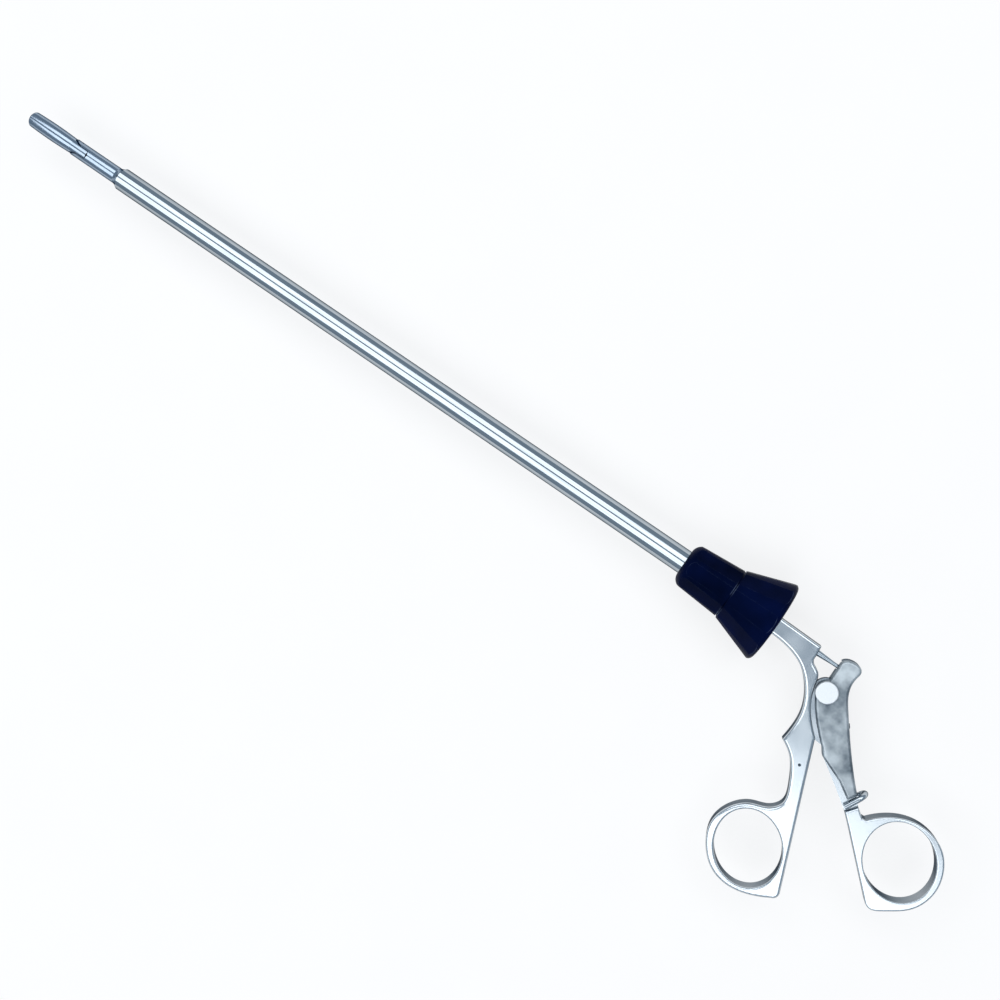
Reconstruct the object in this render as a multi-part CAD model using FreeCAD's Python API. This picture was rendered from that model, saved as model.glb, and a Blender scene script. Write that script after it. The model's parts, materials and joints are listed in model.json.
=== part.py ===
import FreeCAD, Part
import math
import os

from FreeCAD import Vector

# Gallbladder extractor, lying on its side, in millimetres.
# The origin is on the shaft axis at the front face of the knob. +X runs along the shaft to
# the jaws, +Y runs towards the finger ring and +Z is square to the plane of the handles.

# Clearances, and how far a cut runs past what it cuts
running_gap = 0.05
slide_gap = 0.1
free_gap = 0.3
seat_gap = 0.02
over_cut = 1.0
wide_cut = 10.0

# Shaft tube
tube_radius = 5.0
tube_bore = 3.6
tube_length = 293.0
spigot_radius = 4.4
spigot_length = 13.5

# Push rod and its ball
rod_radius = 1.4
rod_neck_radius = 0.8
rod_neck_back = 26.5
rod_taper_length = 9.0
ball_radius = 2.0
ball_back = 32.5
pocket_rise = 0.2
pocket_drop = 0.3
pocket_flare = 2.2

# Knob: a domed front collar and a flared rear part, both with eight flats
flat_count = 8
flat_depth = 0.45
nose_radius = 5.3
dome_radius = 9.2
dome_length = 5.0
collar_length = 21.3
collar_rear_radius = 10.4
groove_width = 0.6
groove_depth = 1.0
flare_front_radius = 10.8
flare_rear_radius = 17.0
flare_corner = 2.0
knob_dish = 3.0
knob_length = 42.0

# Hub inside the knob, and the spindle that it turns on
hub_radius = 7.0
hub_nose = 3.0
spindle_radius = 4.0
spindle_setback = 1.0
neck_inset = 1.0
clip_x = -16.0
clip_width = 0.8
clip_inner_radius = 3.5
clip_outer_radius = 4.9
clip_split = 1.4
hub_screw_radius = 1.2
hub_screw_x = -8.0

# Guides and seal inside the tube
guide_length = 6.0
rear_guide_x = -11.0
front_guide_setback = 17.0
seal_x = -4.0
seal_length = 5.0

# Handles
handle_thickness = 8.0
pivot_back = 30.5
pivot_y = 10.4
handle_travel = 18.0
tongue_thickness = 3.2
tongue_radius = 5.2
slot_side_gap = 0.15
tang_thickness = 4.0
finger_hole = dict(x=-40.5, y=78.1, long_half=15.4, short_half=13.1, turn=127.0, rim=0.8)
thumb_hole = dict(x=-88.4, y=48.2, long_half=15.4, short_half=13.5, turn=128.0, rim=0.5)
front_rounding = 1.2
lever_rounding = 1.2
thumb_rounding = 0.7

# Pivot screw, its nut and the bush in the tongue
screw_radius = 1.75
screw_head_radius = 4.4
screw_head_height = 1.5
nut_radius = 3.6
nut_height = 1.2
bush_radius = 2.6

# Small pieces of the handles
handle_pin_radius = 0.6
handle_pin_back = 37.9
handle_pin_y = 39.5
clip_bar_radius = 1.1
edge_screw_radius = 1.0
edge_screw_length = 3.0
edge_screw_proud = 0.4

# Jaw end: reducer, thin sleeve with a tapered slot, and the two jaws
flare_length = 2.8
housing_length = 28.0
housing_radius = 3.7
housing_bore = 3.05
plug_length = 10.0
slot_length = 9.8
slot_half = 1.9
slot_taper_length = 5.0
slot_mouth_half = 3.75
clevis_setback = 4.0
clevis_ring = 3.5
jaw_length = 24.0
jaw_root_radius = 3.4
jaw_wide_radius = 3.7
jaw_wide_back = 7.0
jaw_tip_radius = 3.5
jaw_end_corner = 0.9
jaw_wall = 0.8
jaw_solid_length = 3.0
jaw_gap = 0.3
cap_gap = 0.35
cap_length = 8.7
cap_wall = 0.45
cap_swing_room = 1.6

# Claws: four on the lower jaw, with the upper teeth between them
claw_pitch = 1.6
claw_count = 4
claw_rise = 1.9
claw_root = 1.5
claw_gap = 0.8
claw_depth = 2.6

# Jaw pivot, drive pin and cam slot
jaw_pivot_setback = 4.0
jaw_pivot_z = 0.9
jaw_pin_radius = 0.7
pin_end_setback = 0.4
jaw_hub_radius = 1.35
drive_z = -1.0
drive_pin_radius = 0.55
cam_gap = 0.08
tail_half = 0.8
tail_wall = 0.5
fork_inner = 1.0
fork_outer = 1.7
fork_nose = 0.8
fork_slot = 4.0
fork_top = -0.3
fork_bottom = -2.0
ring_clearance = 2.3
jaw_travel = 34.0

# Outlines in the upright plane of the shaft, measured from the jaw pivot
cap_underside = [(-1.0, 0.8), (1.5, -0.1)]
web_rear = [(-1.6, -2.1), (-1.9, 1.5), (-3.2, 2.2), (6.2, 1.6)]
web_front = [(4.0, -0.75), (1.3, -2.1)]

# Outlines in the plane of the handles, measured from the middle of the knob's rear face
front_top = [(1.0, -3.5), (-19.1, -3.0), (-19.6, 1.2)]
front_window = [(-19.6, 1.2), (-20.3, 3.8), (-23.5, 5.8), (-25.6, 10.4), (-27.4, 15.8), (-33.2, 24.0),
                (-37.0, 27.6)]
front_corner = [(-59.9, 84.9), (-60.0, 87.2), (-58.4, 88.8)]
front_ring = [(-58.4, 88.8), (-49.4, 93.5), (-41.2, 95.0), (-34.0, 93.3), (-27.7, 88.0), (-23.4, 78.5),
              (-26.6, 67.5), (-31.9, 62.7), (-37.9, 60.0), (-41.1, 55.5), (-39.3, 48.6), (-34.4, 40.4),
              (-27.3, 35.2)]
front_inside = [(-27.3, 35.2), (-27.7, 28.5), (-27.0, 22.3), (-22.1, 12.7), (-16.5, 7.5), (-8.5, 4.5),
                (1.0, 3.8)]
tongue_edge = [(-24.4, 8.6), (-27.0, 17.5), (-36.0, 28.2), (-41.4, 28.6), (-35.4, 12.3)]
fork_edge = [(-24.0, 10.4), (-36.3, 10.4), (-36.3, 12.2), (-42.5, 28.2), (-42.0, 30.4), (-34.0, 33.0),
             (-24.0, 33.0)]
lever_head = [(-28.7, 0.0), (-29.3, -3.6), (-32.5, -5.1), (-36.0, -4.4), (-36.8, -1.2)]
lever_back = [(-36.8, -1.2), (-37.5, 5.9), (-41.3, 11.9), (-49.2, 22.1), (-56.4, 30.6), (-61.9, 36.4)]
lever_tail = [(-61.9, 36.4), (-59.9, 40.1), (-53.5, 36.0), (-43.2, 31.8), (-41.4, 29.4)]
lever_front = [(-41.4, 29.4), (-35.1, 23.4), (-30.3, 17.7), (-27.7, 13.8)]
lever_boss = [(-27.7, 13.8), (-26.3, 10.4), (-28.8, 5.9)]
tang_edge = [(-44.0, 32.2), (-53.8, 38.8), (-62.0, 44.7), (-64.7, 39.9), (-62.6, 37.6), (-56.0, 32.8),
             (-47.5, 28.2)]
arm_left = [(-61.6, 44.4), (-66.2, 48.6), (-87.3, 68.9)]
arm_ring = [(-87.3, 68.9), (-89.4, 69.6), (-94.5, 67.0), (-101.8, 60.4), (-105.1, 51.0), (-103.6, 42.4),
            (-98.2, 35.1), (-90.0, 32.0), (-81.7, 33.0), (-74.9, 36.9), (-69.6, 42.4)]
arm_right = [(-69.6, 42.4), (-68.2, 42.5), (-64.7, 39.9), (-61.6, 44.4)]
edge_screw_place = (-44.9, 16.6)
edge_screw_way = (-0.79, -0.613)
clip_open_end = (-60.6, 43.0)
clip_bend = (-63.2, 37.4)

# Worked-out values
edge_tolerance = 0.001
half = handle_thickness / 2
tongue_half = tongue_thickness / 2
tang_half = tang_thickness / 2
handle_x = -knob_length
neck_face = handle_x + neck_inset
pivot_x = handle_x - pivot_back
ball_x = handle_x - ball_back
rod_neck_front = handle_x - rod_neck_back
handle_pin_x = handle_x - handle_pin_back
handle_arm_x = ball_x - pivot_x
handle_arm_y = -pivot_y
mouth_x = tube_length + housing_length
tip_x = mouth_x + jaw_length
slot_rear_x = mouth_x - slot_length
clevis_rear_x = tube_length + clevis_setback
jaw_hollow_x = mouth_x + jaw_solid_length
jaw_pivot_x = mouth_x - jaw_pivot_setback
cap_rear_x = mouth_x - cap_length
front_guide_x = tube_length - plug_length - front_guide_setback


def ball_shift(angle):
    """Travel of the lever's head along the shaft for one handle angle in radians."""
    return handle_arm_x * (math.cos(angle) - 1) - handle_arm_y * math.sin(angle)


stroke = ball_shift(math.radians(handle_travel))
drive_x = jaw_pivot_x - stroke / 2
fork_rear_x = clevis_rear_x + clevis_ring + ring_clearance


def rod_piece(start, end, radius, y=0.0, z=0.0):
    """Round bar along the shaft between two stations."""
    return Part.makeCylinder(radius, end - start, Vector(start, y, z), Vector(1, 0, 0))


def upright(x, y, bottom, top, radius):
    """Round bar square to the handles."""
    return Part.makeCylinder(radius, top - bottom, Vector(x, y, bottom), Vector(0, 0, 1))


def cross_bar(x, z, reach, radius):
    """Round bar across the shaft, centred on it."""
    return Part.makeCylinder(radius, 2 * reach, Vector(x, -reach, z), Vector(0, 1, 0))


def block(x0, x1, y0, y1, z0, z1):
    """Plain block between six faces."""
    return Part.makeBox(x1 - x0, y1 - y0, z1 - z0, Vector(x0, y0, z0))


def flat_points(points, z=0.0):
    return [Vector(x, y, z) for x, y in points]


def on_handle(points):
    """Outline points moved from the knob's rear face into the part's frame."""
    return [(x + handle_x, y) for x, y in points]


def smooth(points):
    """Smooth edge through a few points."""
    curve = Part.BSplineCurve()
    curve.interpolate(flat_points(points))
    return curve.toShape()


def straight(points):
    """Straight edges through the points."""
    places = flat_points(points)
    return [Part.makeLine(a, b) for a, b in zip(places, places[1:])]


def arc(a, b, c):
    """Round edge through three points."""
    return Part.Arc(*flat_points([a, b, c])).toShape()


def slab(edges, bottom, top):
    """Closed outline in the plane of the handles, raised from bottom to top."""
    wire = Part.Wire(Part.__sortEdges__(edges))
    face = Part.Face(wire)
    face.translate(Vector(0, 0, bottom))
    return face.extrude(Vector(0, 0, top - bottom))


def polygon(points, bottom, top):
    return slab(straight(points + points[:1]), bottom, top)


def oval(hole, bottom, top):
    """Oval hole of a ring, with its long axis turned in the plane of the handles."""
    ellipse = Part.Ellipse(Vector(0, 0, 0), hole["long_half"], hole["short_half"])
    face = Part.Face(Part.Wire(ellipse.toShape()))
    face.rotate(Vector(0, 0, 0), Vector(0, 0, 1), hole["turn"])
    face.translate(Vector(hole["x"] + handle_x, hole["y"], bottom))
    return face.extrude(Vector(0, 0, top - bottom))


def near_face(edge):
    """True for an edge that lies on one of the two flat faces."""
    box = edge.BoundBox
    return abs(abs(box.Center.z) - half) < edge_tolerance and box.ZLength < edge_tolerance


def rounded(body, radius):
    """Rounds the edges that bound the two flat faces of a handle plate."""
    return body.makeFillet(radius, [edge for edge in body.Edges if near_face(edge)])


def ring_hole(body, hole):
    """Cuts the oval hole of a ring and rounds its two rims."""
    body = body.cut(oval(hole, -wide_cut, wide_cut))
    return body.makeFillet(hole["rim"], [e for e in body.Edges if near_face(e) and e.isClosed()])


def turned(edges):
    """Solid of revolution about the shaft axis from a closed outline in x and radius."""
    wire = Part.Wire(Part.__sortEdges__(edges))
    return Part.Face(wire).revolve(Vector(0, 0, 0), Vector(1, 0, 0), 360)


def flats(stations):
    """Eight-sided body along the shaft; each station is (x, half width across flats)."""
    rings = []
    for x, across in stations:
        corner = across / math.cos(math.pi / flat_count)
        ring = []
        for i in range(flat_count + 1):
            turn = 2 * math.pi * (i + 0.5) / flat_count
            ring.append(Vector(x, corner * math.cos(turn), corner * math.sin(turn)))
        rings.append(Part.makePolygon(ring))
    return Part.makeLoft(rings, True, True)


def front_handle():
    """Plate with the neck, the finger spur and the finger ring, and the tongue of the pivot."""
    rear = [front_window[-1], front_corner[0]]
    neck_end = [front_inside[-1], front_top[0]]
    edges = straight(on_handle(front_top)) + [smooth(on_handle(front_window))]
    edges += straight(on_handle(rear)) + [arc(*on_handle(front_corner)), smooth(on_handle(front_ring))]
    edges += [smooth(on_handle(front_inside))] + straight(on_handle(neck_end))
    plate = ring_hole(rounded(slab(edges, -half, half), front_rounding), finger_hole)
    tongue = polygon(on_handle(tongue_edge), -tongue_half, tongue_half)
    tongue = tongue.fuse(upright(pivot_x, pivot_y, -tongue_half, tongue_half, tongue_radius))
    body = plate.fuse(tongue).removeSplitter()
    body = body.cut(upright(pivot_x, pivot_y, -half, half, bush_radius + seat_gap))
    body = body.cut(rod_piece(pivot_x, neck_face + over_cut, rod_radius + free_gap))
    return body.cut(upright(handle_pin_x, handle_pin_y, -wide_cut, wide_cut, handle_pin_radius))


def knob_spindle():
    """Hollow spindle on the neck, with a groove near its front end for the clip."""
    front = -spigot_length - spindle_setback
    body = rod_piece(neck_face, front, spindle_radius)
    body = body.cut(rod_piece(neck_face - over_cut, front + over_cut, rod_radius + free_gap))
    groove_half = clip_width / 2 + seat_gap
    ring = rod_piece(clip_x - groove_half, clip_x + groove_half, spindle_radius + over_cut)
    ring = ring.cut(rod_piece(clip_x - over_cut, clip_x + over_cut, clip_inner_radius - seat_gap))
    return body.cut(ring)


def spindle_clip():
    """Split spring clip that keeps the hub on the spindle."""
    outer = rod_piece(clip_x - clip_width / 2, clip_x + clip_width / 2, clip_outer_radius)
    ring = outer.cut(rod_piece(clip_x - over_cut, clip_x + over_cut, clip_inner_radius))
    split = block(clip_x - over_cut, clip_x + over_cut, -wide_cut, 0, -clip_split / 2, clip_split / 2)
    return ring.cut(split)


def pivot_screw():
    """Screw with a plain low domed head on the upper face."""
    seat = half + running_gap
    shank = upright(pivot_x, pivot_y, -half - nut_height, seat, screw_radius)
    head = upright(pivot_x, pivot_y, seat, seat + screw_head_height, screw_head_radius)
    rim = [e for e in head.Edges if e.BoundBox.ZMin > seat + screw_head_height / 2 and e.Closed]
    head = head.makeFillet(screw_head_height / 3, rim)
    return shank.fuse(head).removeSplitter()


def pivot_nut():
    seat = -half - running_gap
    disc = upright(pivot_x, pivot_y, seat - nut_height, seat, nut_radius)
    return disc.cut(upright(pivot_x, pivot_y, -wide_cut, wide_cut, screw_radius))


def tongue_bush():
    ring = upright(pivot_x, pivot_y, -tongue_half, tongue_half, bush_radius)
    return ring.cut(upright(pivot_x, pivot_y, -half, half, screw_radius + seat_gap))


def handle_pin():
    return upright(handle_pin_x, handle_pin_y, -half, half, handle_pin_radius)


def tang(bottom, top):
    """Thin upper end of the thumb arm, which lies in the slot of the lever's tail."""
    return polygon(on_handle(tang_edge), bottom, top)


def edge_screw_frame():
    """Place and outward direction of the small screw in the lever's rear edge."""
    x, y = edge_screw_place
    return Vector(x + handle_x, y, 0), Vector(*edge_screw_way, 0)


def rear_lever():
    """Forked lever: a head for the rod's ball, cheeks at the pivot, a slotted tail."""
    head_face = [lever_boss[-1], lever_head[0]]
    edges = [smooth(on_handle(lever_head)), smooth(on_handle(lever_back))]
    edges += [smooth(on_handle(lever_front)), arc(*on_handle(lever_boss))]
    edges += straight(on_handle(lever_tail)) + straight(on_handle(head_face))
    body = rounded(slab(edges, -half, half), lever_rounding)
    slot_half_width = tongue_half + slot_side_gap
    body = body.cut(polygon(on_handle(fork_edge), -slot_half_width, slot_half_width))
    disc_gap = tongue_radius + 1.5 * free_gap
    body = body.cut(upright(pivot_x, pivot_y, -slot_half_width, slot_half_width, disc_gap))
    body = body.cut(tang(-tang_half, tang_half))
    body = body.cut(upright(pivot_x, pivot_y, -wide_cut, wide_cut, screw_radius + running_gap))
    body = body.cut(ball_pocket())
    place, outward = edge_screw_frame()
    start = place - outward * edge_screw_length
    return body.cut(Part.makeCylinder(edge_screw_radius, 2 * edge_screw_length, start, outward))


def ball_pocket():
    """Pocket for the ball, open to the lower face, with a mouth that widens for the neck."""
    reach = ball_radius + free_gap
    low = upright(ball_x, -pocket_drop, -wide_cut, reach, reach)
    high = upright(ball_x, pocket_rise, -wide_cut, reach, reach)
    between = block(ball_x - reach, ball_x + reach, -pocket_drop, pocket_rise, -wide_cut, reach)
    neck = rod_neck_radius + free_gap
    front = rod_neck_front - free_gap
    mouth = [(ball_x, neck + pocket_rise), (front, neck + pocket_rise), (front, -neck - pocket_flare),
             (ball_x, -neck - pocket_drop)]
    return low.fuse([high, between, polygon(mouth, -wide_cut, neck)])


def thumb_arm():
    """Arm with the thumb ring; its tang lies in the lever's tail."""
    edges = straight(on_handle(arm_left)) + [smooth(on_handle(arm_ring))] + straight(on_handle(arm_right))
    body = ring_hole(rounded(slab(edges, -half, half), thumb_rounding), thumb_hole)
    return body.fuse(tang(-tang_half, tang_half)).removeSplitter()


def retaining_clip():
    """Round U clip across the tang, between the lever's tail and the arm's shoulder."""
    level = tang_half + clip_bar_radius
    open_end, bend = flat_points(on_handle([clip_open_end, clip_bend]))
    along = (open_end - bend).normalize()
    length = (open_end - bend).Length
    bars = [Part.makeCylinder(clip_bar_radius, length, bend + Vector(0, 0, z), along)
            for z in (level, -level)]
    section = Part.Face(Part.Wire(Part.makeCircle(clip_bar_radius, bend + Vector(0, 0, level), along)))
    side = along.cross(Vector(0, 0, 1))
    loop = section.revolve(bend, side, 180)
    if loop.CenterOfMass.sub(bend).dot(along) > 0:
        loop = section.revolve(bend, side, -180)
    return bars[0].fuse([bars[1], loop]).removeSplitter()


def lever_set_screw():
    place, outward = edge_screw_frame()
    start = place - outward * edge_screw_length
    return Part.makeCylinder(edge_screw_radius, edge_screw_length + edge_screw_proud, start, outward)


def knob_collar():
    """Front part of the knob: domed nose and a barrel with eight flats."""
    rear = -collar_length
    crown = dome_radius + flat_depth
    rear_crown = collar_rear_radius + flat_depth
    bore = hub_radius + seat_gap
    nose_bore = spigot_radius + seat_gap
    dome = arc((0, nose_radius), (-0.32 * dome_length, 0.75 * crown + 0.25 * nose_radius),
               (-dome_length, crown))
    edges = [dome]
    edges += straight([(-dome_length, crown), (rear, rear_crown), (rear, bore), (-hub_nose, bore),
                       (-hub_nose, nose_bore), (0, nose_bore), (0, nose_radius)])
    slope = (collar_rear_radius - dome_radius) / (collar_length - dome_length)
    stations = [(1.0, dome_radius - slope * (dome_length + 1)),
                (rear - 1, collar_rear_radius + slope)]
    return turned(edges).common(flats(stations))


def rotation_knob():
    """Rear part of the knob: flared cone with eight flats, rounded rim and a dished rear."""
    front = -collar_length - groove_width
    rear = -knob_length
    bore = hub_radius + seat_gap
    crown = flare_front_radius + flat_depth
    rim = flare_rear_radius + flat_depth
    neck_radius = crown - groove_depth
    rim_front = rear + flare_corner
    edges = [arc((rim_front, rim), (rear + 0.29 * flare_corner, rim - 0.29 * flare_corner),
                 (rear, rim - flare_corner))]
    dish = rear + knob_dish
    edges += straight([(rear, rim - flare_corner), (rear, rim - 2 * flare_corner),
                       (dish, bore + 2 * flare_corner), (dish, bore + flare_corner / 2),
                       (dish - knob_dish / 2, bore), (front + groove_width, bore),
                       (front + groove_width, neck_radius), (front, neck_radius),
                       (front, crown), (rim_front, rim)])
    slope = (flare_rear_radius - flare_front_radius) / (front - rim_front)
    stations = [(front + 1, flare_front_radius - slope),
                (rear - 1, flare_rear_radius + slope * (1 + flare_corner))]
    return turned(edges).common(flats(stations))


def knob_hub():
    """Metal hub in the knob: it turns on the spindle and holds the tube's spigot."""
    rear = neck_face + free_gap
    shoulder = clip_x - clip_width / 2 - free_gap
    front_bore = -spigot_length - slide_gap
    body = rod_piece(rear, -hub_nose, hub_radius)
    body = body.cut(rod_piece(rear - over_cut, shoulder, spindle_radius + running_gap))
    body = body.cut(rod_piece(shoulder, front_bore, clip_outer_radius + free_gap))
    body = body.cut(rod_piece(front_bore, 0, spigot_radius + seat_gap))
    return body.cut(upright(hub_screw_x, 0, 0, wide_cut, hub_screw_radius + seat_gap))


def hub_screw():
    return upright(hub_screw_x, 0, spigot_radius + seat_gap, hub_radius - free_gap, hub_screw_radius)


def shaft_tube():
    """Outer tube with a reduced spigot in the hub."""
    body = rod_piece(0, tube_length, tube_radius).fuse(rod_piece(-spigot_length, 0, spigot_radius))
    return body.removeSplitter().cut(rod_piece(-spigot_length - over_cut, tube_length + over_cut, tube_bore))


def rod_guide(start):
    ring = rod_piece(start, start + guide_length, tube_bore - seat_gap)
    return ring.cut(rod_piece(start - over_cut, start + guide_length + over_cut, rod_radius + running_gap))


def tube_seal():
    end = seal_x + seal_length
    ring = rod_piece(seal_x, end, tube_bore - seat_gap)
    return ring.cut(rod_piece(seal_x - over_cut, end + over_cut, rod_radius + running_gap))


def slot_plan(gap, shift):
    """Space over the shaft axis seen from above: a slot that widens to the mouth, less a gap."""
    wide = slot_mouth_half - gap
    narrow = slot_half - gap / 2
    taper_x = mouth_x - slot_taper_length + shift
    line = [(slot_rear_x, 0), (slot_rear_x + narrow / 2, narrow), (taper_x, narrow), (mouth_x + shift, wide),
            (tip_x + over_cut, wide + over_cut)]
    points = line + [(x, -y) for x, y in reversed(line[1:])]
    return polygon(points, 0, 2 * housing_radius)


def side_view(points, half_width):
    """Outline in the upright plane of the shaft, widened to both sides."""
    places = [Vector(x, -half_width, z) for x, z in points]
    return Part.Face(Part.makePolygon(places + places[:1])).extrude(Vector(0, 2 * half_width, 0))


def jaw_housing():
    """Reducer and thin front sleeve, with the slot that the upper jaw's cap lies in."""
    start = tube_length
    end = start + flare_length
    middle = (start + 0.45 * flare_length, 0.5 * (tube_radius + housing_radius) - slide_gap)
    plug = rod_piece(start - plug_length, start, tube_bore - seat_gap)
    edges = [arc((start, tube_radius), middle, (end, housing_radius))]
    edges += straight([(end, housing_radius), (end, 0), (start, 0), (start, tube_radius)])
    body = turned(edges).fuse([plug, rod_piece(end, mouth_x, housing_radius)]).removeSplitter()
    body = body.cut(rod_piece(start - plug_length - over_cut, mouth_x + over_cut, rod_radius + free_gap))
    body = body.cut(rod_piece(clevis_rear_x, mouth_x + over_cut, housing_bore))
    body = body.cut(slot_plan(0, 0))
    return body.cut(cross_bar(jaw_pivot_x, jaw_pivot_z, wide_cut, jaw_pin_radius))


def jaw_skin(inset, start):
    """Half-tube form of both jaws as a body of revolution, made smaller by an inset."""
    wide_x = tip_x - jaw_wide_back
    end = tip_x - inset
    corner_radius = jaw_end_corner - inset / 2
    high = jaw_tip_radius - inset
    cut = corner_radius * (1 - math.sqrt(0.5))
    edges = [smooth([(start, jaw_root_radius - inset), (wide_x, jaw_wide_radius - inset),
                     (end - corner_radius, high)])]
    edges += [arc((end - corner_radius, high), (end - cut, high - cut), (end, high - corner_radius))]
    edges += straight([(end, high - corner_radius), (end, 0), (start, 0), (start, jaw_root_radius - inset)])
    return turned(edges)


def claw_region(lift):
    """Space below the zigzag line between the claws and the teeth, raised by a lift."""
    start = tip_x - claw_depth
    reach = claw_count * claw_pitch / 2
    line = [(-wide_cut, lift / 2), (-reach, lift / 2)]
    for i in range(claw_count):
        tip = -reach + claw_pitch * (i + 0.5)
        line.append((tip, claw_rise + lift))
        if i < claw_count - 1:
            line.append((tip + claw_pitch / 2, -claw_root + lift))
    line += [(reach, lift / 2), (wide_cut, lift / 2), (wide_cut, -wide_cut), (-wide_cut, -wide_cut)]
    places = [Vector(start, y, z) for y, z in line]
    return Part.Face(Part.makePolygon(places + places[:1])).extrude(Vector(claw_depth + over_cut, 0, 0))


def lower_region():
    """Space of the lower jaw: below the axis plane, with the claws standing up at the tip."""
    below = block(mouth_x - over_cut, tip_x - claw_depth, -wide_cut, wide_cut, -wide_cut, -jaw_gap / 2)
    return below.fuse(claw_region(0))


def upper_region():
    """Space of the upper jaw: above the axis plane, with the teeth hanging down at the tip."""
    claws_x = tip_x - claw_depth
    under_cap = [(jaw_pivot_x + x, jaw_pivot_z + z) for x, z in cap_underside]
    line = [(cap_rear_x, jaw_root_radius - cap_wall)] + under_cap
    line += [(mouth_x, jaw_gap / 2), (claws_x, jaw_gap / 2), (claws_x, wide_cut), (cap_rear_x, wide_cut)]
    tip = block(claws_x, tip_x + over_cut, -jaw_wide_radius, jaw_wide_radius, -wide_cut, wide_cut)
    return side_view(line, wide_cut).fuse(tip.cut(claw_region(claw_gap)))


def lower_jaw():
    """Fixed spoon with four claws, and the two cheeks that sit in the housing."""
    shell = jaw_skin(0, mouth_x).cut(jaw_skin(jaw_wall, jaw_hollow_x))
    spoon = shell.common(lower_region())
    ring_end = clevis_rear_x + clevis_ring
    cheeks = rod_piece(clevis_rear_x, mouth_x, housing_bore - seat_gap)
    cheeks = cheeks.cut(block(ring_end, mouth_x + over_cut, -slot_half, slot_half, -wide_cut, wide_cut))
    cheeks = cheeks.cut(rod_piece(clevis_rear_x - over_cut, ring_end + over_cut, rod_radius + slide_gap))
    body = spoon.fuse(cheeks.cut(slot_plan(0, 0))).removeSplitter()
    return body.cut(cross_bar(jaw_pivot_x, jaw_pivot_z, wide_cut, jaw_pin_radius))


def jaw_pivot_pin():
    return cross_bar(jaw_pivot_x, jaw_pivot_z, housing_radius - pin_end_setback, jaw_pin_radius)


def cam_path(share):
    """Place of the drive pin as the upper jaw sees it, at one share of the travel."""
    angle = math.radians(jaw_travel) * share
    back = drive_x - jaw_pivot_x + stroke * share
    up = drive_z - jaw_pivot_z
    x = back * math.cos(angle) + up * math.sin(angle)
    z = -back * math.sin(angle) + up * math.cos(angle)
    return Vector(jaw_pivot_x + x, 0, jaw_pivot_z + z)


def along_path(reach, thickness_half):
    """Slab that follows the pin's path with round ends, reaching out by the same width."""
    step = 0.02
    side_a = []
    side_b = []
    for i in range(7):
        share = i / 6
        run = (cam_path(share + step) - cam_path(share - step)).normalize()
        out = Vector(-run.z, 0, run.x) * reach
        side_a.append(cam_path(share) + out)
        side_b.append(cam_path(share) - out)
    first = cam_path(0) - (cam_path(step) - cam_path(0)).normalize() * reach
    last = cam_path(1) + (cam_path(1) - cam_path(1 - step)).normalize() * reach
    curve_a = Part.BSplineCurve()
    curve_a.interpolate(side_a)
    curve_b = Part.BSplineCurve()
    curve_b.interpolate(side_b)
    edges = [curve_a.toShape(), Part.Arc(side_a[-1], last, side_b[-1]).toShape(),
             curve_b.toShape(), Part.Arc(side_b[0], first, side_a[0]).toShape()]
    face = Part.Face(Part.Wire(Part.__sortEdges__(edges)))
    face.translate(Vector(0, -thickness_half, 0))
    return face.extrude(Vector(0, 2 * thickness_half, 0))


def upper_jaw():
    """Moving jaw: half-round shell with hooked teeth, a cap in the slot, a tail with the cam slot."""
    solid = jaw_skin(0, mouth_x).fuse(rod_piece(cap_rear_x, mouth_x, jaw_root_radius))
    solid = solid.cut(jaw_skin(jaw_wall, jaw_hollow_x))
    body = solid.common(upper_region()).common(slot_plan(cap_gap, cap_swing_room).fuse(ahead_of_mouth()))
    slot_reach = drive_pin_radius + cam_gap
    blade = along_path(slot_reach + tail_wall, tail_half)
    hub = cross_bar(jaw_pivot_x, jaw_pivot_z, tail_half, jaw_hub_radius)
    web_line = [(jaw_pivot_x + x, jaw_pivot_z + z) for x, z in web_rear + web_front]
    web_line.insert(len(web_rear), (jaw_hollow_x - jaw_wall, jaw_gap / 2))
    body = body.fuse([blade, hub, side_view(web_line, tail_half)]).removeSplitter()
    body = body.cut(along_path(slot_reach, wide_cut))
    return body.cut(cross_bar(jaw_pivot_x, jaw_pivot_z, wide_cut, jaw_pin_radius + running_gap))


def ahead_of_mouth():
    """Space in front of the mouth, where the upper jaw has its full width."""
    return block(mouth_x, tip_x + over_cut, -wide_cut, wide_cut, -wide_cut, wide_cut)


def push_rod():
    """Rod from the ball to the fork, with a slim neck that tapers out in front of the ball."""
    thick = rod_neck_front + rod_taper_length
    edges = straight([(ball_x, 0), (ball_x, rod_neck_radius), (rod_neck_front, rod_neck_radius),
                      (thick, rod_radius), (fork_rear_x, rod_radius), (fork_rear_x, 0), (ball_x, 0)])
    return turned(edges)


def rod_ball():
    ball = Part.makeSphere(ball_radius, Vector(ball_x, 0, 0))
    return ball.cut(rod_piece(ball_x, ball_x + 2 * ball_radius, rod_neck_radius))


def drive_fork():
    """Low flat bar on the rod's front end, forked so that it passes the upper jaw's tail."""
    bar = block(fork_rear_x, drive_x + fork_nose, -fork_outer, fork_outer, fork_bottom, fork_top)
    crotch = drive_x - fork_slot
    bar = bar.cut(block(crotch, drive_x + wide_cut, -fork_inner, fork_inner, -wide_cut, wide_cut))
    return bar.cut(cross_bar(drive_x, drive_z, wide_cut, drive_pin_radius))


def drive_pin():
    return cross_bar(drive_x, drive_z, fork_outer, drive_pin_radius)


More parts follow.
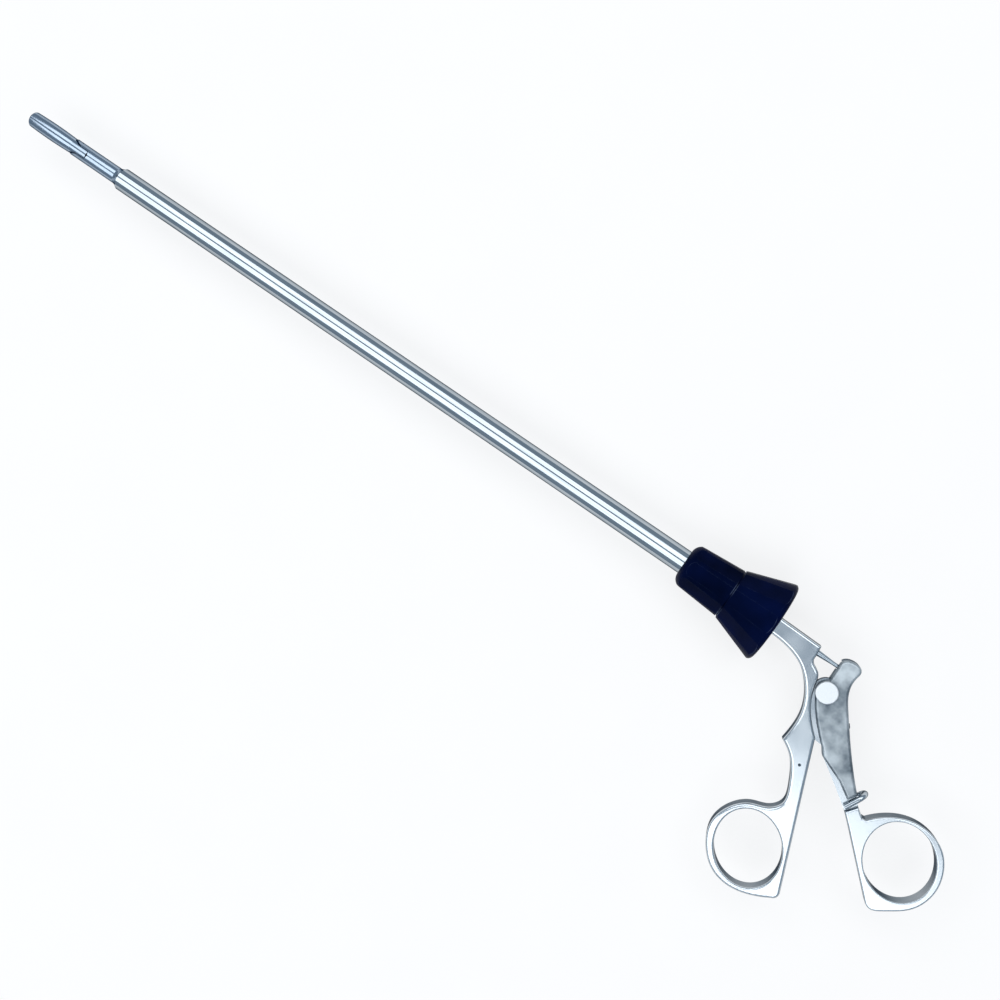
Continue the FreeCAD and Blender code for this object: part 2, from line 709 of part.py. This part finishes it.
def all_pieces():
    return {
        "front_handle": front_handle(),
        "knob_spindle": knob_spindle(),
        "spindle_clip": spindle_clip(),
        "pivot_screw": pivot_screw(),
        "pivot_nut": pivot_nut(),
        "tongue_bush": tongue_bush(),
        "handle_pin": handle_pin(),
        "rear_lever": rear_lever(),
        "thumb_arm": thumb_arm(),
        "retaining_clip": retaining_clip(),
        "lever_set_screw": lever_set_screw(),
        "rotation_knob": rotation_knob(),
        "knob_collar": knob_collar(),
        "knob_hub": knob_hub(),
        "hub_screw": hub_screw(),
        "shaft_tube": shaft_tube(),
        "tube_seal": tube_seal(),
        "rod_guide_rear": rod_guide(rear_guide_x),
        "rod_guide_front": rod_guide(front_guide_x),
        "jaw_housing": jaw_housing(),
        "lower_jaw": lower_jaw(),
        "jaw_pivot_pin": jaw_pivot_pin(),
        "push_rod": push_rod(),
        "rod_ball": rod_ball(),
        "drive_fork": drive_fork(),
        "drive_pin": drive_pin(),
        "upper_jaw": upper_jaw(),
    }


def write_parts():
    os.makedirs("parts", exist_ok=True)
    for name, shape in all_pieces().items():
        print(name, shape.ShapeType, len(shape.Solids), shape.isValid(), round(shape.Volume, 1))
        shape.exportStep("parts/" + name + ".step")
    print("stroke", round(stroke, 3), "mm, handle ratio", round(stroke / math.radians(handle_travel), 4))


write_parts()
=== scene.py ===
import json
import bpy
from mathutils import Matrix, Vector


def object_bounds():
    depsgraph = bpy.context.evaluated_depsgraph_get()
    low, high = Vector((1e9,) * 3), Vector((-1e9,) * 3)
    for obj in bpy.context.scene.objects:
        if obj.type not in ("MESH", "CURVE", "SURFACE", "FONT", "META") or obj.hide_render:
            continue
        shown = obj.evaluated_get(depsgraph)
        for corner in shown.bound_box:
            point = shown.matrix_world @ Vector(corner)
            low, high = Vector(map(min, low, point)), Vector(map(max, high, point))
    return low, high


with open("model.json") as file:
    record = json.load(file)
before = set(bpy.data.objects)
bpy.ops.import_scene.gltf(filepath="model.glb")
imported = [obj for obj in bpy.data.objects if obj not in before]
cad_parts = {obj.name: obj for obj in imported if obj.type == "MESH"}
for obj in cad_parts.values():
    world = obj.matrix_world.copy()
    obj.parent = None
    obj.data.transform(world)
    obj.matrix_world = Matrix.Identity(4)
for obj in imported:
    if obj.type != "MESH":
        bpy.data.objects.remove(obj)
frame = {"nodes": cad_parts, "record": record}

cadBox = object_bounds()
print("frame loaded:", len(frame["nodes"]), "nodes")

mm = 0.001


def srgbHex(code):
    # sRGB hex text to the linear colour that the shader takes
    parts = [int(code[i:i + 2], 16) / 255 for i in (1, 3, 5)]
    linear = [c / 12.92 if c <= 0.04045 else ((c + 0.055) / 1.055) ** 2.4 for c in parts]
    return (*linear, 1.0)


def addNode(tree, kind, settings=None, links=None):
    # one node, with its settings and the sockets that feed it
    node = tree.nodes.new(kind)
    for name, value in (settings or {}).items():
        if isinstance(name, str) and hasattr(node, name):
            setattr(node, name, value)
        else:
            node.inputs[name].default_value = value
    for name, socket in (links or {}).items():
        tree.links.new(socket, node.inputs[name])
    return node


def startMaterial(name):
    # a bare material with its shader and object coordinates
    material = bpy.data.materials.new(name)
    material.use_nodes = True
    tree = material.node_tree
    shader = tree.nodes["Principled BSDF"]
    place = addNode(tree, "ShaderNodeTexCoord").outputs["Object"]
    return material, tree, shader, place


# noise mostly lies between low and high, and the roughness follows it about its mean
patternReach = {"low": 0.3, "high": 0.7, "smoother": 0.8, "rougher": 1.25}


def varyFinish(tree, shader, pattern, look):
    # one pattern moves the colour from dark to light and the roughness with it
    reach = {"From Min": patternReach["low"], "From Max": patternReach["high"]}
    share = addNode(tree, "ShaderNodeMapRange", reach, {"Value": pattern})
    colours = {"data_type": "RGBA", 6: srgbHex(look["dark"]), 7: srgbHex(look["light"])}
    mix = addNode(tree, "ShaderNodeMix", colours, {0: share.outputs["Result"]})
    spread = {"To Min": look["roughness"] * patternReach["smoother"],
              "To Max": look["roughness"] * patternReach["rougher"]}
    rough = addNode(tree, "ShaderNodeMapRange", spread, {"Value": share.outputs["Result"]})
    tree.links.new(mix.outputs[2], shader.inputs["Base Color"])
    tree.links.new(rough.outputs["Result"], shader.inputs["Roughness"])
    shader.inputs["Metallic"].default_value = look.get("metal", 1.0)
    # each finish's edge colour is set dark: a painted shade on the rims of the metal
    if "edge" in look:      # the colour that a metal reflects when seen at a low angle
        shader.inputs["Specular Tint"].default_value = srgbHex(look["edge"])


def drawnPattern(tree, place, look):
    # noise drawn out along the shaft, for metal worked in that direction
    scale = (1 / look["along"], 1 / look["across"], 1 / look["across"])
    stretch = addNode(tree, "ShaderNodeMapping", {"Scale": scale}, {"Vector": place})
    noise = addNode(tree, "ShaderNodeTexNoise", {"Scale": 1.0, "Detail": look["detail"]},
                    {"Vector": stretch.outputs["Vector"]})
    return noise.outputs["Fac"]


def evenPattern(tree, place, size, detail=2.0):
    # noise of one grain size in all directions
    noise = addNode(tree, "ShaderNodeTexNoise", {"Scale": 1 / size, "Detail": detail}, {"Vector": place})
    return noise.outputs["Fac"]


def roughenWith(tree, shader, height, look):
    # fine relief from a pattern
    relief = {"Strength": look["relief"], "Distance": look["depth"]}
    bump = addNode(tree, "ShaderNodeBump", relief, {"Height": height})
    tree.links.new(bump.outputs["Normal"], shader.inputs["Normal"])


# stainless steel tube, ground and polished along its length: long fine streaks, mirror-like across
# the real lines are about 0.02 mm apart and are drawn wider, so that they show
tubeSteel = {"light": "#c6cdd2", "dark": "#a6b0b8", "edge": "#2c363f", "roughness": 0.08, "along": 22 * mm,
             "across": 0.35 * mm, "detail": 3.0, "relief": 0.05, "depth": 0.02 * mm}


def makeTubeSteel():
    material, tree, shader, place = startMaterial("tubeSteel")
    streaks = drawnPattern(tree, place, tubeSteel)
    varyFinish(tree, shader, streaks, tubeSteel)
    roughenWith(tree, shader, streaks, tubeSteel)
    return material


# satin stainless steel, hand polished: pale soft reflections, faint cloudiness, and side walls darkened by
# painted shade in the edge colour
# the real satin grain of about 0.03 mm is drawn coarser, so that it shows
handleSteel = {"light": "#dee4e8", "dark": "#cbd3d9", "edge": "#37404a", "roughness": 0.22, "cloud": 14 * mm,
               "grain": 0.12 * mm, "grainDetail": 1.0, "relief": 0.06, "depth": 0.03 * mm}


def makeHandleSteel():
    material, tree, shader, place = startMaterial("handleSteel")
    varyFinish(tree, shader, evenPattern(tree, place, handleSteel["cloud"]), handleSteel)
    grain = evenPattern(tree, place, handleSteel["grain"], handleSteel["grainDetail"])
    roughenWith(tree, shader, grain, handleSteel)
    return material


# bead-blasted stainless steel: dull grey with soft darker patches from handling and the pits of the beads
leverSteel = {"light": "#ccd4d8", "dark": "#626d76", "edge": "#3f4955", "roughness": 0.42, "patch": 8 * mm,
              "patchDetail": 3.0, "pit": 0.22 * mm, "relief": 0.2, "depth": 0.04 * mm}


def makeLeverSteel():
    material, tree, shader, place = startMaterial("leverSteel")
    patches = evenPattern(tree, place, leverSteel["patch"], leverSteel["patchDetail"])
    varyFinish(tree, shader, patches, leverSteel)
    pits = addNode(tree, "ShaderNodeTexVoronoi", {"Scale": 1 / leverSteel["pit"]}, {"Vector": place})
    roughenWith(tree, shader, pits.outputs["Distance"], leverSteel)
    return material


# polished stainless steel of the jaws: blue-grey mirror with faint polishing lines, and rims darkened by
# painted shade in the edge colour
# the real lines are under 0.02 mm wide and are drawn wider, so that they show
jawSteel = {"light": "#b2bfcd", "dark": "#95a5b5", "edge": "#252e38", "roughness": 0.14, "along": 6 * mm,
            "across": 0.15 * mm, "detail": 2.0}


def makeJawSteel():
    material, tree, shader, place = startMaterial("jawSteel")
    varyFinish(tree, shader, drawnPattern(tree, place, jawSteel), jawSteel)
    return material


# finely brushed steel of the screw head and its nut: pale and soft, with a few hairlines
brightSteel = {"light": "#f6f8f9", "dark": "#e8ecef", "edge": "#27313b", "roughness": 0.5,
               "hairline": 0.4 * mm}


def makeBrightSteel():
    material, tree, shader, place = startMaterial("brightSteel")
    varyFinish(tree, shader, evenPattern(tree, place, brightSteel["hairline"]), brightSteel)
    return material


# polished spring steel of the clip: clear mirror, its edges darkened by painted shade in the edge colour
clipSteel = {"light": "#d2d9de", "dark": "#a9b3bb", "edge": "#10161d", "roughness": 0.14,
             "hairline": 0.3 * mm}


def makeClipSteel():
    material, tree, shader, place = startMaterial("clipSteel")
    varyFinish(tree, shader, evenPattern(tree, place, clipSteel["hairline"]), clipSteel)
    return material


# dark steel of the small pin and the edge screw: dark grey with a little shine
darkSteel = {"light": "#4d5861", "dark": "#39434b", "roughness": 0.35, "mark": 0.3 * mm}


def makeDarkSteel():
    material, tree, shader, place = startMaterial("darkSteel")
    varyFinish(tree, shader, evenPattern(tree, place, darkSteel["mark"]), darkSteel)
    return material


# ground steel of rods, pins and the hub: plain grey with turning marks
innerSteel = {"light": "#a9b4bc", "dark": "#8e9aa4", "roughness": 0.26, "mark": 0.3 * mm}


def makeInnerSteel():
    material, tree, shader, place = startMaterial("innerSteel")
    varyFinish(tree, shader, evenPattern(tree, place, innerSteel["mark"]), innerSteel)
    return material


# turned engineering plastic of the knob: near black with a navy cast and a dull satin sheen
# the real tool marks of about 0.1 mm are drawn coarser, so that they show
knobPlastic = {"light": "#050f34", "dark": "#02071a", "roughness": 0.42, "metal": 0.0, "specular": 0.03,
               "sheen": "#5a7cf0", "cloud": 16 * mm, "grain": 0.35 * mm, "relief": 0.08, "depth": 0.05 * mm}
# handling has paled its edges, and a painted highlight lies along them too: a turn between start and full
# shows the wear and the painted highlight, in patches
knobWearAndHighlight = {"colour": "#56627c", "width": 0.4 * mm, "samples": 8, "start": 0.995, "full": 0.93,
            "patch": 6 * mm, "bare": 0.4, "wornAndLit": 0.6}


def wearAndHighlightEdges(tree, shader, place, wearAndHighlight):
    # paler edges where the surface turns sharply, uneven along their length: partly wear, partly a painted
    # highlight
    soft = addNode(tree, "ShaderNodeBevel", {"samples": wearAndHighlight["samples"], "Radius": wearAndHighlight["width"]})
    flat = addNode(tree, "ShaderNodeNewGeometry")
    turn = addNode(tree, "ShaderNodeVectorMath", {"operation": "DOT_PRODUCT"},
                   {0: soft.outputs["Normal"], 1: flat.outputs["Normal"]})
    edge = addNode(tree, "ShaderNodeMapRange", {"From Min": wearAndHighlight["start"], "From Max": wearAndHighlight["full"]},
                   {"Value": turn.outputs["Value"]})
    patches = addNode(tree, "ShaderNodeMapRange", {"From Min": wearAndHighlight["bare"], "From Max": wearAndHighlight["wornAndLit"]},
                      {"Value": evenPattern(tree, place, wearAndHighlight["patch"])})
    share = addNode(tree, "ShaderNodeMath", {"operation": "MULTIPLY"},
                    {0: edge.outputs["Result"], 1: patches.outputs["Result"]})
    colour = shader.inputs["Base Color"].links[0].from_socket
    # the pale colour mixed in at the edges is wear and a painted highlight together
    mix = addNode(tree, "ShaderNodeMix", {"data_type": "RGBA", 7: srgbHex(wearAndHighlight["colour"])},
                  {0: share.outputs["Value"], 6: colour})
    tree.links.new(mix.outputs[2], shader.inputs["Base Color"])


def makeKnobPlastic():
    material, tree, shader, place = startMaterial("knobPlastic")
    varyFinish(tree, shader, evenPattern(tree, place, knobPlastic["cloud"]), knobPlastic)
    roughenWith(tree, shader, evenPattern(tree, place, knobPlastic["grain"]), knobPlastic)
    # paler knob edges: wear, with a painted highlight
    wearAndHighlightEdges(tree, shader, place, knobWearAndHighlight)
    shader.inputs["Specular IOR Level"].default_value = knobPlastic["specular"]
    shader.inputs["Specular Tint"].default_value = srgbHex(knobPlastic["sheen"])
    return material


# turned brass, moulded silicone rubber and white plastic of the hidden bush, seal and guides
hiddenFinishes = {
    "bushBrass": {"light": "#c9a86a", "dark": "#a98848", "roughness": 0.3, "metal": 1.0, "grain": 0.3 * mm},
    "sealRubber": {"light": "#2a2b2d", "dark": "#18191a", "roughness": 0.7, "metal": 0.0, "grain": 0.2 * mm},
    "guidePlastic": {"light": "#e4e4de", "dark": "#d2d2cb", "roughness": 0.5, "metal": 0.0, "grain": 0.5 * mm}
}


def makeHidden(name):
    look = hiddenFinishes[name]
    material, tree, shader, place = startMaterial(name)
    varyFinish(tree, shader, evenPattern(tree, place, look["grain"]), look)
    return material


def dressNodes():
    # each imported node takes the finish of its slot, and three small pieces have one of their own
    finishes = {
        "tube_steel": makeTubeSteel(),
        "handle_steel": makeHandleSteel(),
        "lever_steel": makeLeverSteel(),
        "jaw_steel": makeJawSteel(),
        "bright_steel": makeBrightSteel(),
        "inner_steel": makeInnerSteel(),
        "knob_plastic": makeKnobPlastic(),
        "bush_brass": makeHidden("bushBrass"),
        "seal_rubber": makeHidden("sealRubber"),
        "guide_plastic": makeHidden("guidePlastic"),
    }
    darkPieces = makeDarkSteel()
    ownFinishes = {"retaining_clip": makeClipSteel(), "handle_pin": darkPieces, "lever_set_screw": darkPieces}
    slotOf = {row["node"]: row["material_slot"] for row in frame["record"]["subparts"]}
    for name, node in frame["nodes"].items():
        node.data.materials.clear()
        node.data.materials.append(ownFinishes.get(name) or finishes[slotOf[name]])
    print("finishes on", len(slotOf), "nodes")


dressNodes()

# matte laminate of the table: smooth and nearly white, with hardly any variation
floorLook = {"size": 9.0, "middle": 0.1, "light": "#fefdfd", "dark": "#fbfafa", "roughness": 0.8,
             "metal": 0.0, "specular": 0.1, "grain": 40 * mm, "glow": "#ffffff", "white": 0.76}


def whitenFloor(tree, shader):
    # seen directly, in metal or through glass, the table is most of the way to plain white
    path = addNode(tree, "ShaderNodeLightPath")
    seen = addNode(tree, "ShaderNodeMath", {"operation": "MAXIMUM"},
                   {0: path.outputs["Is Camera Ray"], 1: path.outputs["Is Glossy Ray"]})
    seen = addNode(tree, "ShaderNodeMath", {"operation": "MAXIMUM"},
                   {0: seen.outputs["Value"], 1: path.outputs["Is Transmission Ray"]})
    share = addNode(tree, "ShaderNodeMath", {"operation": "MULTIPLY", 1: floorLook["white"]},
                    {0: seen.outputs["Value"]})
    glow = addNode(tree, "ShaderNodeEmission", {"Color": srgbHex(floorLook["glow"]), "Strength": 1.0})
    mix = addNode(tree, "ShaderNodeMixShader", links={0: share.outputs["Value"], 1: shader.outputs["BSDF"],
                                                      2: glow.outputs["Emission"]})
    tree.links.new(mix.outputs["Shader"], tree.nodes["Material Output"].inputs["Surface"])


def makeFloor():
    # pale table under the instrument, level with its lowest point
    low = cadBox[0][2]
    bpy.ops.mesh.primitive_plane_add(size=floorLook["size"], location=(floorLook["middle"], 0, low))
    floor = bpy.context.object
    floor.name = "studioFloor"
    floor.data.transform(floor.matrix_world)
    floor.matrix_world = Matrix.Identity(4)
    material, tree, shader, place = startMaterial("paleTable")
    varyFinish(tree, shader, evenPattern(tree, place, floorLook["grain"]), floorLook)
    shader.inputs["Specular IOR Level"].default_value = floorLook["specular"]
    whitenFloor(tree, shader)
    floor.data.materials.append(material)


makeFloor()
print("floor laid")

# two long soft boxes over the shaft, with a narrow gap between them that the tube shows as a dark line
softBoxes = {"length": 1.85, "width": 0.78, "height": 0.95, "gap": 0.36, "middle": 0.275, "power": 7.8,
             "colour": "#ffffff"}
roomLight = {"colour": "#c2d6e9", "strength": 0.5}


def addSoftBox(name, side):
    light = bpy.data.lights.new(name, "AREA")
    light.shape = "RECTANGLE"
    light.size = softBoxes["length"]
    light.size_y = softBoxes["width"]
    light.energy = softBoxes["power"]
    light.color = srgbHex(softBoxes["colour"])[:3]
    lamp = bpy.data.objects.new(name, light)
    bpy.context.scene.collection.objects.link(lamp)
    across = softBoxes["gap"] / 2 + softBoxes["width"] / 2
    lamp.location = (softBoxes["middle"], side * across, softBoxes["height"])


def lightRoom():
    for name, side in (("softBoxNear", -1), ("softBoxFar", 1)):
        addSoftBox(name, side)
    world = bpy.data.worlds.new("room")
    bpy.context.scene.world = world
    world.use_nodes = True
    background = world.node_tree.nodes["Background"]
    background.inputs["Color"].default_value = srgbHex(roomLight["colour"])
    background.inputs["Strength"].default_value = roomLight["strength"]


lightRoom()
print("lights set")

# the photograph is taken from above, a little past the knob, looking slightly towards the jaws
# the spot is in millimetres in the frame, and right and down are the directions of the picture's sides
camera = {"spot": (-3.3, -32.5, 475.6), "right": (-0.8114, -0.5502, -0.1971),
          "down": (-0.5614, 0.8276, 0.0008), "lens": 42.74, "sensor": 36, "nearest": 10 * mm}


def placeCamera():
    lens = bpy.data.cameras.new("photoCamera")
    lens.lens = camera["lens"]
    lens.sensor_width = camera["sensor"]
    lens.clip_start = camera["nearest"]
    view = bpy.data.objects.new("photoCamera", lens)
    bpy.context.scene.collection.objects.link(view)
    right = Vector(camera["right"]).normalized()
    up = -Vector(camera["down"]).normalized()
    back = right.cross(up).normalized()
    up = back.cross(right)
    turn = Matrix((right, up, back)).transposed().to_4x4()
    view.matrix_world = Matrix.Translation(Vector(camera["spot"]) * mm) @ turn
    bpy.context.scene.camera = view


placeCamera()
bpy.context.scene.view_settings.view_transform = "Standard"
print("camera placed")
